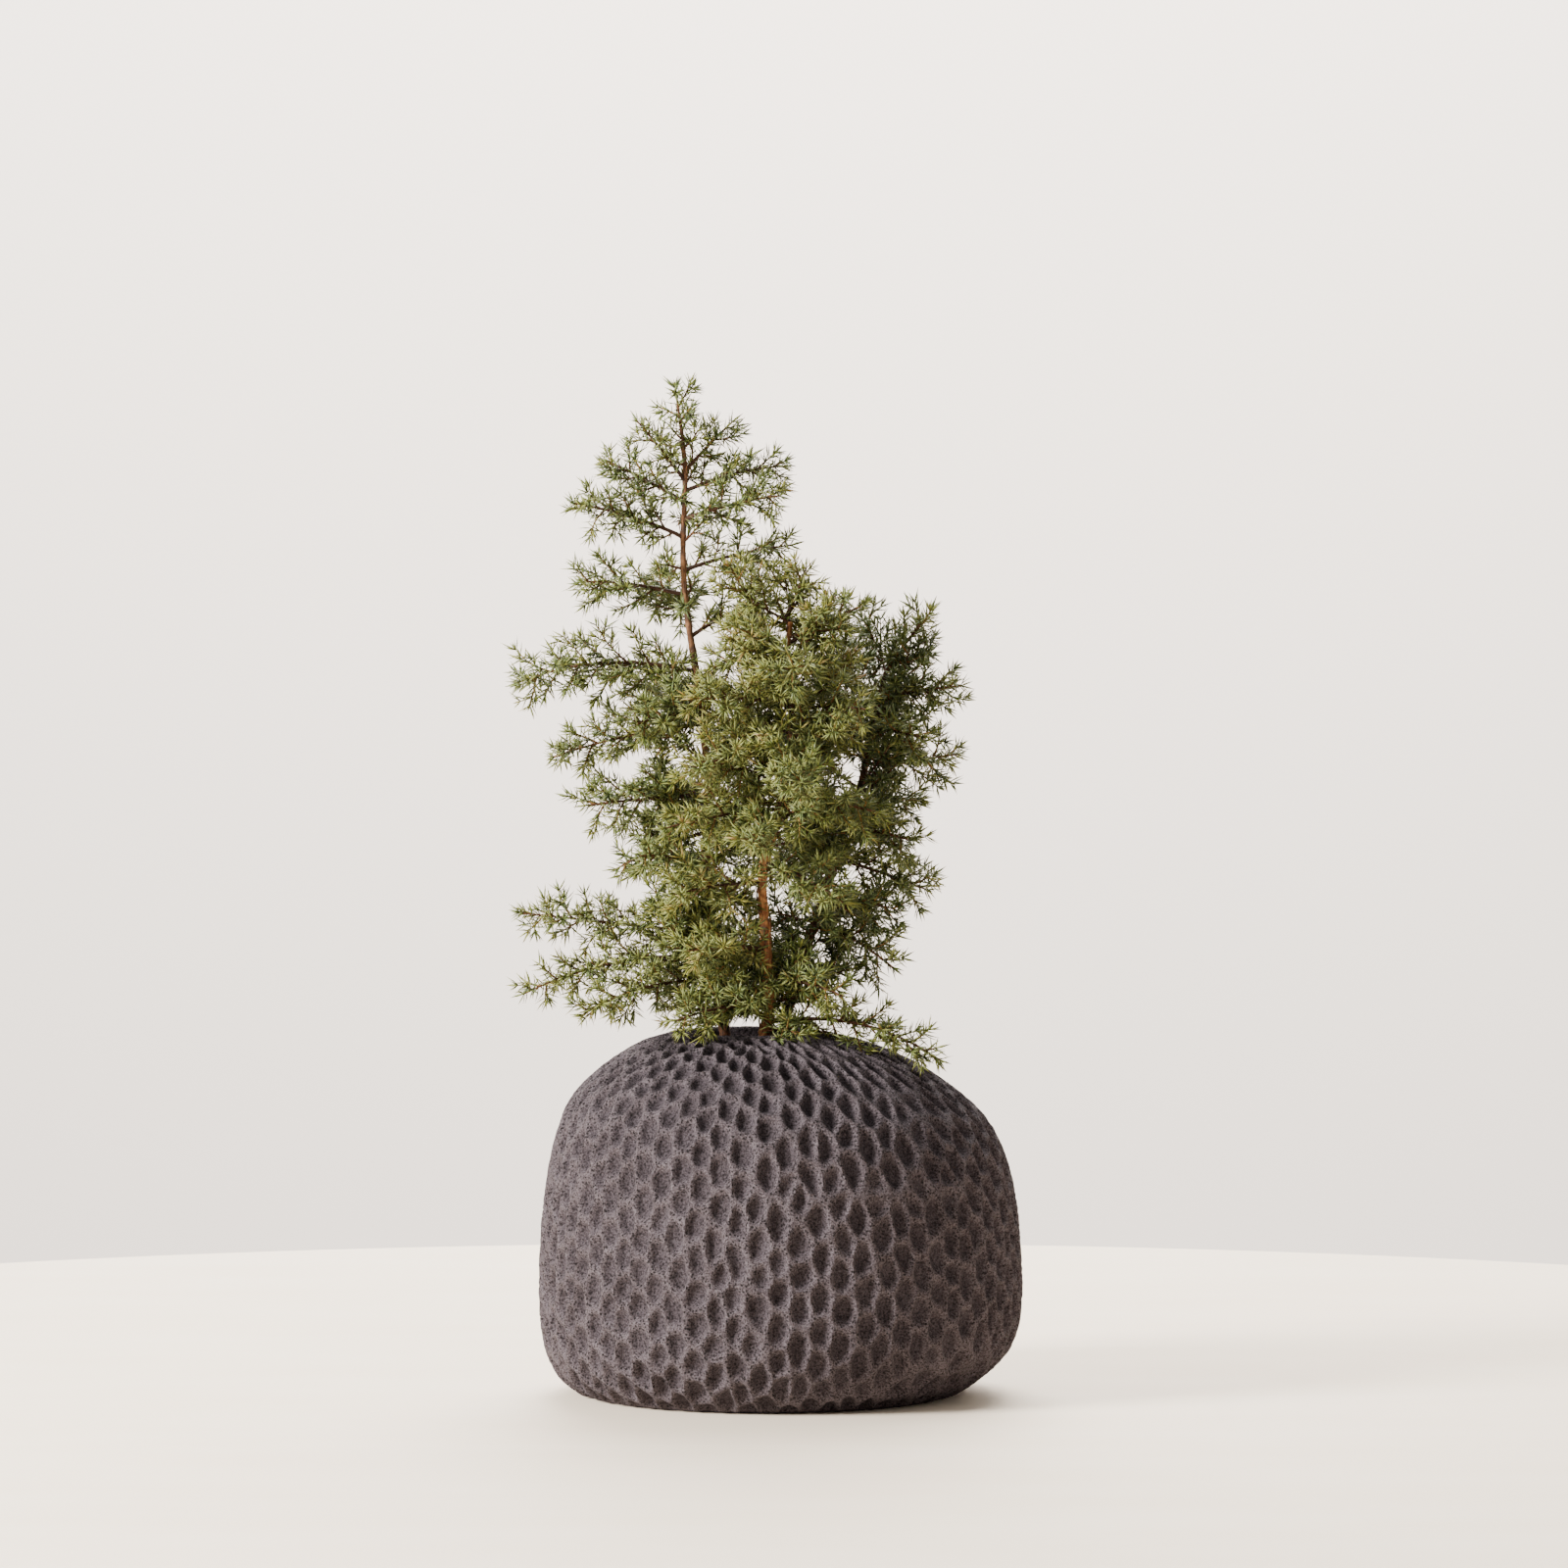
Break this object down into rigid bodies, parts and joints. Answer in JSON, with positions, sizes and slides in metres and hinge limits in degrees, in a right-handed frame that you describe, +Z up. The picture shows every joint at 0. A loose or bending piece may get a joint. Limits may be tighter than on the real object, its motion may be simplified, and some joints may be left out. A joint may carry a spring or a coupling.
{
  "type": "potted bonsai tree",
  "caption": "Small needle-juniper bonsai with slender stems and airy foliage sprays, planted in a dark carved stoneware pot with a narrow off-centre mouth.",
  "frame": {"origin": "centre of the pot's foot, on the surface that the pot stands on, which is also under the middle of the whole plant", "axes": "+Z up the plant, +X to the right as seen from the front, and -Y towards the front, where the orange stem is"},
  "size_m": [0.2614, 0.2402, 0.5181],
  "materials": {
    "stoneware": "unglazed dark grey-brown stoneware, carved and full of fine pores",
    "soil": "damp dark potting soil with fine grit",
    "mesh_plastic": "black moulded plastic mesh",
    "bark": "reddish-brown fibrous bark that peels in strips",
    "needles": "olive to mid-green waxy needles with paler bands"
  },
  "bodies": {
    "root": {"pot": "stoneware", "potting_soil": "soil", "drainage_mesh": "mesh_plastic", "tall_stem": "bark", "front_stem": "bark", "right_stem": "bark", "front_leader_foliage": "needles", "front_left_foliage_1": "needles", "front_left_foliage_2": "needles", "front_left_foliage_3": "needles", "front_left_foliage_4": "needles", "front_left_foliage_5": "needles", "front_left_foliage_6": "needles", "front_low_foliage_1": "needles", "front_low_foliage_2": "needles", "front_low_foliage_3": "needles", "front_near_foliage_1": "needles", "front_near_foliage_2": "needles", "front_near_foliage_3": "needles", "front_right_foliage_1": "needles", "front_right_foliage_2": "needles", "front_right_foliage_3": "needles", "front_right_foliage_4": "needles", "low_left_foliage_1": "needles", "low_left_foliage_2": "needles", "low_left_foliage_3": "needles", "right_back_foliage_1": "needles", "right_back_foliage_2": "needles", "right_back_foliage_3": "needles", "right_far_foliage_1": "needles", "right_far_foliage_2": "needles", "right_far_foliage_3": "needles", "right_far_foliage_4": "needles", "right_far_foliage_5": "needles", "right_inner_foliage_1": "needles", "right_inner_foliage_2": "needles", "right_leader_foliage": "needles", "right_near_foliage_1": "needles", "right_near_foliage_2": "needles", "tall_back_foliage_1": "needles", "tall_back_foliage_2": "needles", "tall_back_foliage_3": "needles", "tall_front_foliage_1": "needles", "tall_front_foliage_2": "needles", "tall_leader_foliage": "needles", "tall_left_foliage_1": "needles", "tall_left_foliage_2": "needles", "tall_left_foliage_3": "needles", "tall_left_foliage_4": "needles", "tall_left_foliage_5": "needles", "tall_left_foliage_6": "needles", "tall_left_foliage_7": "needles", "tall_left_foliage_8": "needles", "tall_right_foliage_1": "needles", "tall_right_foliage_2": "needles", "tall_right_foliage_3": "needles", "tall_right_foliage_4": "needles", "tall_right_foliage_5": "needles"}
  },
  "joints": []
}
